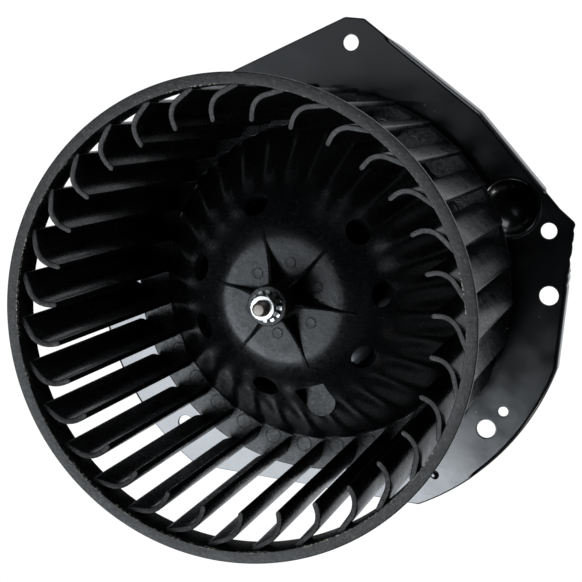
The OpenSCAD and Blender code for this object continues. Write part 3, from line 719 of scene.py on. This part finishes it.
def nut_and_washer():
    shape = Shape()
    nut_shape(shape, NUT_FLATS, NUT_BORE_R, nut_low.z, nut_high.z, math.radians(REST_ANGLE + NUT_TURN))
    place(shape.piece("hex_nut", 30), ROTOR, "zinc", finishes["zinc"], "shaft_nut")
    shape = Shape()
    z0, z1 = washer_low.z, washer_high.z
    shape.lathe(fillet([(2.5, z0), (4.05, z0), (4.05, z1), (2.5, z1)], 0.1, 2), 72)
    teeth = 12
    for i in range(teeth):
        a = 360 * i / teeth
        rows = []
        for r, w, twist in ((3.7, 0.66, 0.0), (4.2, 0.66, 0.04), (4.8, 0.64, 0.1), (5.3, 0.58, 0.14)):
            section = [(-w, z0), (w, z0 + twist), (w, z1 - 0.12 + twist), (-w, z1 - 0.16)]
            rows.append([(*turn(r, y, a), min(z, z1 + 0.15)) for y, z in section])
        shape.grid(rows, wrap_cols=True)
        shape.add(rows[0], [(0, 1, 2, 3)], True)
        shape.add(rows[-1], [(3, 2, 1, 0)], True)
    place(shape.piece("star_washer", 30), ROTOR, "zinc", finishes["zinc"], "lock_washer")


# ---- Mounting plate -----------------------------------------------------------------------------------
CORNER, CORNER_LOW, EAR = (51.0, 67.3), (83.1, 36.4), (-1.9, 96.5)
SIDE_END = 32.0
BOWL, BOWL_R, BOWL_DEPTH = (65.5, 34.7), 10.6, 6.0
NUB = (49.3, -67.6)
SCREW_R, WIDE_R, SMALL_R, OPENING_R, ISOLATOR_R, ISOLATOR_AT = 2.9, 3.45, 1.85, 38.0, 5.0, 44
HOLES = (((1.2, 87.5), SCREW_R), ((80.2, 28.1), SCREW_R), ((-80.2, 28.1), SCREW_R), ((-50.3, -63.9), SCREW_R),
         ((83, 5), WIDE_R), ((66.4, -47), WIDE_R), ((71.8, -39.6), SMALL_R), ((0, 0), OPENING_R))
NICKS = ((29.5, 0.9, 0.4), (24.6, 0.7, 0.3), (19.0, 1.1, 0.45), (13.2, 0.6, 0.35), (9.6, 0.8, 0.3))
BEND = 1.55  # outer radius of the bend into a lip
GUARD = 0.12  # flat row beside each edge, which keeps the smooth shading off the plate's face


def plate_outline():
    """Anticlockwise from the foot of the flat side: side, corner, top ear, slanted edge, round edges."""
    low = -math.sqrt(PLATE_R ** 2 - PLATE_SIDE ** 2)
    corners = [(PLATE_SIDE, low), (PLATE_SIDE, SIDE_END), CORNER_LOW, CORNER, (5.25, EAR[1]), EAR]
    dx, dy = -98.1, -55.3
    t = 0.4
    while math.hypot(EAR[0] + dx * t, EAR[1] + dy * t) < PLATE_R:
        t += 0.0005
    meet = (EAR[0] + dx * t, EAR[1] + dy * t)
    a0 = math.degrees(math.atan2(meet[1], meet[0]))
    a1 = 180 + math.degrees(math.asin(PLATE_BASE / PLATE_R))
    a2, a3 = 540 - a1, 360 + math.degrees(math.atan2(low, PLATE_SIDE))
    arcs = []
    for start, stop in ((a0, a1), (a2, a3)):
        n = math.ceil((stop - start) / 2)
        arcs.append([turn(PLATE_R, 0, start + (stop - start) * k / n) for k in range(n + 1)])
    return fillet(corners + arcs[0] + arcs[1][:-1], 2.1, 6)


def resample(outline, step):
    out, n = [], len(outline)
    for i in range(n):
        p, q = Vector(outline[i]), Vector(outline[(i + 1) % n])
        count = max(1, math.ceil((q - p).length / step))
        out += [tuple(p.lerp(q, k / count)) for k in range(count)]
    return out


def lip_share(x, y):
    """1 where the edge is turned down into a lip, 0 where it is flat, and between them at a lip's ends."""
    r, a = math.hypot(x, y), math.degrees(math.atan2(y, x))
    if r > PLATE_R - 0.6 and -46.6 < a < -13.0:
        return smoothstep(-46.6, -42.5, a)
    if r > PLATE_R - 0.6 and (a > 166 or a < -133.4) and not 140 < a < 193.4 - 0.01:
        turned = a % 360
        return smoothstep(193.4, 196, turned) * (1 - smoothstep(224, 226.6, turned))
    if x > PLATE_SIDE - 0.2 and y < 16.5:
        return 1 - smoothstep(14.0, 16.2, y)
    if y > 41 and x > 13:
        line = 83.86 - 0.6936 * x - 0.7204 * y
        upper = (x - 5.25) * 0.5382 + (y - 96.5) * 0.8428
        if abs(line) < 0.7 or abs(upper) < 0.9:
            return smoothstep(13.5, 19.0, x) * (1 - smoothstep(76.6, 77.7, x))
    return 0.0


def edge_section(share):
    """The plate's edge as (outwards, height), from the flat top round to the flat underside."""
    n = 7
    arc = [math.radians(90 * k / n) for k in range(n + 1)]
    lip = [(-BEND + BEND * math.sin(a), -BEND + BEND * math.cos(a)) for a in arc]
    lip += [(0, -LIP_H + 0.2), (-0.2, -LIP_H), (-PLATE_T + 0.2, -LIP_H), (-PLATE_T, -LIP_H + 0.2)]
    inner = BEND - PLATE_T
    lip += [(-BEND + inner * math.sin(a), -BEND + inner * math.cos(a)) for a in reversed(arc)]
    flat = [(-BEND + (BEND - 0.5) * k / (n - 1), 0.0) for k in range(n)] + [(-0.17, -0.1)]
    flat += [(0, -0.38), (0, -PLATE_T + 0.25), (-0.08, -PLATE_T + 0.08), (-0.25, -PLATE_T)]
    flat += [(-0.3 - (BEND - 0.3) * k / n, -PLATE_T) for k in range(n + 1)]
    mixed = [(a[0] * share + b[0] * (1 - share), a[1] * share + b[1] * (1 - share))
             for a, b in zip(lip, flat)]
    return [(mixed[0][0] - GUARD, 0.0)] + mixed + [(mixed[-1][0] - GUARD, -PLATE_T)]


def nick(x, y):
    """Depth of the small nicks along the flat side edge; each has a place, a width and a depth."""
    if x < PLATE_SIDE - 3:
        return 0.0
    return sum(d * math.exp(-((y - c) / w) ** 2) for c, w, d in NICKS)


def hole_rows(centre, profile, steps):
    """The wall of a round hole, from a profile of (radius, height)."""
    return [circle_row(centre, r, z, steps) for r, z in profile]


def plate():
    """Stamped plate: edge rows, round holes and the bowl, joined by a flat skin above and below."""
    shape = Shape()
    outline = resample(plate_outline(), 0.9)
    n = len(outline)
    rings = []
    for i, (x, y) in enumerate(outline):
        a, b = Vector(outline[i - 1]), Vector(outline[(i + 1) % n])
        d = (b - a).normalized()
        depth = nick(x, y)
        rings.append([(x + d.y * o - depth, y - d.x * o, z) for o, z in edge_section(lip_share(x, y))])
    rows = [list(row) for row in zip(*rings)]
    shape.grid(rows, wrap_cols=True)
    top, bottom = [rows[0]], [rows[-1]]
    holes = list(HOLES) + [(turn(ISOLATOR_AT, 0, a), ISOLATOR_R) for a in (90, 210, 330)]
    for centre, r in holes:
        t, e = PLATE_T, 0.22
        profile = [(r + e + GUARD, 0), (r + e, 0), (r + 0.07, -0.07), (r, -e), (r, -t + e),
                   (r + 0.07, -t + 0.07), (r + e, -t), (r + e + GUARD, -t)]
        made = hole_rows(centre, profile, 120 if r > 10 else 40)
        shape.grid(made, wrap_cols=True)
        top.append(made[0])
        bottom.append(made[-1])
    sphere = (BOWL_R ** 2 + BOWL_DEPTH ** 2) / (2 * BOWL_DEPTH)
    for skin, side in ((0.0, top), (PLATE_T, bottom)):
        profile = [(11.25 + GUARD, -skin), (11.25, -skin)]
        for k in range(15):
            r = (BOWL_R - 0.25) * (1 - k / 14)
            z = sphere - BOWL_DEPTH - math.sqrt((sphere + skin) ** 2 - r * r)
            profile.append((r, min(z, -skin - 0.25)))
        made = hole_rows(BOWL, profile, 64)
        shape.grid(made, wrap_cols=True)
        side.append(made[0])
    nub = [(1.75 + GUARD, 0), (1.75, 0), (1.5, 0.07), (1.2, 0.2), (0.8, 0.33), (0.4, 0.4), (0, 0.42)]
    made = hole_rows(NUB, nub, 28)
    shape.grid(made, wrap_cols=True)
    top.append(made[0])
    for loops in (top, bottom):
        points = [p for loop in loops for p in loop]
        faces = tessellate_polygon([[Vector(p) for p in loop] for loop in loops])
        shape.add(points, faces, True)
    piece = shape.piece("flange_plate", 35)
    place(piece, BASE, "plate_paint", plate_paint, "mounting_plate")


# ---- Brush springs: each is pressed between its brush and the end of the holder ----------------------------
def brush_spring(side, outwards):
    """Coil spring between its brush and the end of the holder."""
    node = "brush_spring_" + side
    low, high = box_mm(node)
    wire = 0.3
    middle = (low + high) / 2
    coil_r = (high.z - low.z) / 2 - wire
    inner, outer = sorted((low.x, high.x), key=abs)
    length = abs(outer - inner) - 2 * wire
    turns, per_turn, around = 6, 24, 10
    rows = []
    for i in range(turns * per_turn + 1):
        t = i / (turns * per_turn)
        share = 0.5 - 0.5 * math.cos(math.pi * t)
        x = inner + outwards * (wire + length * (0.8 * t + 0.2 * share))
        a = 2 * math.pi * turns * t
        row = []
        for k in range(around):
            b = 2 * math.pi * k / around
            r = coil_r + wire * math.cos(b)
            row.append((x + wire * math.sin(b), middle.y + r * math.cos(a), middle.z + r * math.sin(a)))
        rows.append(row)
    shape = Shape()
    shape.grid(rows, wrap_cols=True)
    shape.add(rows[0], [tuple(range(around))], True)
    shape.add(rows[-1], [tuple(range(around))], True)
    piece = shape.piece("spring_coil_" + side)
    piece.data.materials.append(finishes["spring_steel"])
    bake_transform(piece)
    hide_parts(node)


front_ring()
blades()
hub()
shaft()
nut_and_washer()
plate()
brush_spring("right", 1)
brush_spring("left", -1)


# ---- Floor, lights and camera -----------------------------------------------------------------------------
FLOOR_GLOW = (0.18, 0.27, 0.72, 0.14)  # from 0.18 m to 0.27 m off the middle, the glow falls from 0.72 to 0.14
COOL = (0.87, 0.935, 1.0)
WORLD_LIGHT = 0.015


def floor():
    """Pale floor that curves up far away: white to the camera, a soft glow to everything else."""
    mesh = bpy.data.meshes.new("floor")
    z = cad_box[0].z - 0.002
    steps = 48
    rings = [(3.0, 0.0), (5.0, 0.15), (7.0, 0.8), (8.5, 2.0), (9.0, 3.5)]
    verts = [(*turn(r, 0, 360 * k / steps), z + lift) for r, lift in rings for k in range(steps)]
    faces = [tuple(range(steps))]
    for i in range(len(rings) - 1):
        for k in range(steps):
            a, b = i * steps + k, i * steps + (k + 1) % steps
            faces.append((a, a + steps, b + steps, b))
    mesh.from_pydata(verts, [], faces)
    obj = bpy.data.objects.new("floor", mesh)
    bpy.context.scene.collection.objects.link(obj)
    material = bpy.data.materials.new("floor")
    material.use_nodes = True
    tree = material.node_tree
    shader = tree.nodes["Principled BSDF"]
    shader.inputs["Base Color"].default_value = (0.16, 0.16, 0.16, 1)
    shader.inputs["Roughness"].default_value = 0.9
    shader.inputs["Specular IOR Level"].default_value = 0.0
    shader.inputs["Emission Color"].default_value = (0.93, 0.96, 1.0, 1)
    where, size = tree.nodes.new("ShaderNodeTexCoord"), tree.nodes.new("ShaderNodeVectorMath")
    size.operation = "LENGTH"
    tree.links.new(where.outputs["Object"], size.inputs[0])
    glow = tree.nodes.new("ShaderNodeMapRange")
    for i, value in enumerate(FLOOR_GLOW, start=1):
        glow.inputs[i].default_value = value
    tree.links.new(size.outputs["Value"], glow.inputs[0])
    tree.links.new(glow.outputs[0], shader.inputs["Emission Strength"])
    white = tree.nodes.new("ShaderNodeEmission")
    white.inputs["Strength"].default_value = 1.05
    path, mix = tree.nodes.new("ShaderNodeLightPath"), tree.nodes.new("ShaderNodeMixShader")
    tree.links.new(path.outputs["Is Camera Ray"], mix.inputs[0])
    tree.links.new(shader.outputs[0], mix.inputs[1])
    tree.links.new(white.outputs[0], mix.inputs[2])
    tree.links.new(mix.outputs[0], tree.nodes["Material Output"].inputs["Surface"])
    mesh.materials.append(material)


def softbox(name, direction, distance, size, watts, tint=(1, 1, 1), aim=(0, 0, 0.05)):
    light = bpy.data.lights.new(name, "AREA")
    light.shape = "RECTANGLE"
    light.size, light.size_y = size
    light.energy = watts
    light.color = tint
    obj = bpy.data.objects.new(name, light)
    bpy.context.scene.collection.objects.link(obj)
    back = Vector(direction).normalized()
    obj.location = Vector(aim) + back * distance
    obj.rotation_mode = "QUATERNION"
    obj.rotation_quaternion = (-back).to_track_quat("-Z", "Y")


def camera():
    """The camera that was fitted to the wheel's circles."""
    data = bpy.data.cameras.new("camera")
    obj = bpy.data.objects.new("camera", data)
    bpy.context.scene.collection.objects.link(obj)
    data.sensor_width, data.lens = 36.0, 85.98
    data.clip_start, data.clip_end = 0.01, 20
    right, up = Vector((0.95292, 0.09177, -0.28898)), Vector((-0.13507, 0.98178, -0.13364))
    back = right.cross(up)
    matrix = Matrix((right, up, back)).transposed().to_4x4()
    matrix.translation = Vector((0.12975, 0.08090, 0.49688))
    obj.matrix_world = matrix
    bpy.context.scene.camera = obj


floor()
softbox("key", (-0.36, -0.45, 0.82), 1.1, (0.74, 0.64), 20, COOL)
softbox("left", (-0.46, 0.09, 0.88), 1.1, (0.62, 0.8), 1.2, COOL)
softbox("top", (0.25, 0.85, 0.50), 1.0, (0.5, 0.35), 2.0, COOL)
softbox("side", (0.90, 0.42, 0.22), 1.0, (0.5, 0.4), 3.0, COOL)
softbox("rim_left", (-0.92, 0.36, 0.10), 1.0, (0.7, 0.22), 2.4, COOL)
softbox("rim_back", (0.30, 0.95, 0.08), 1.0, (0.6, 0.2), 1.2, COOL)
softbox("rim_front", (-0.25, -0.96, 0.06), 1.0, (0.6, 0.2), 1.6, COOL)
softbox("glint", (0.78, -0.61, 0.10), 0.9, (0.12, 0.12), 0.6)
world = bpy.data.worlds.new("world")
world.use_nodes = True
world.node_tree.nodes["Background"].inputs[0].default_value = (*COOL, 1)
world.node_tree.nodes["Background"].inputs[1].default_value = WORLD_LIGHT
bpy.context.scene.world = world
bpy.context.scene.view_settings.view_transform = "Standard"
camera()
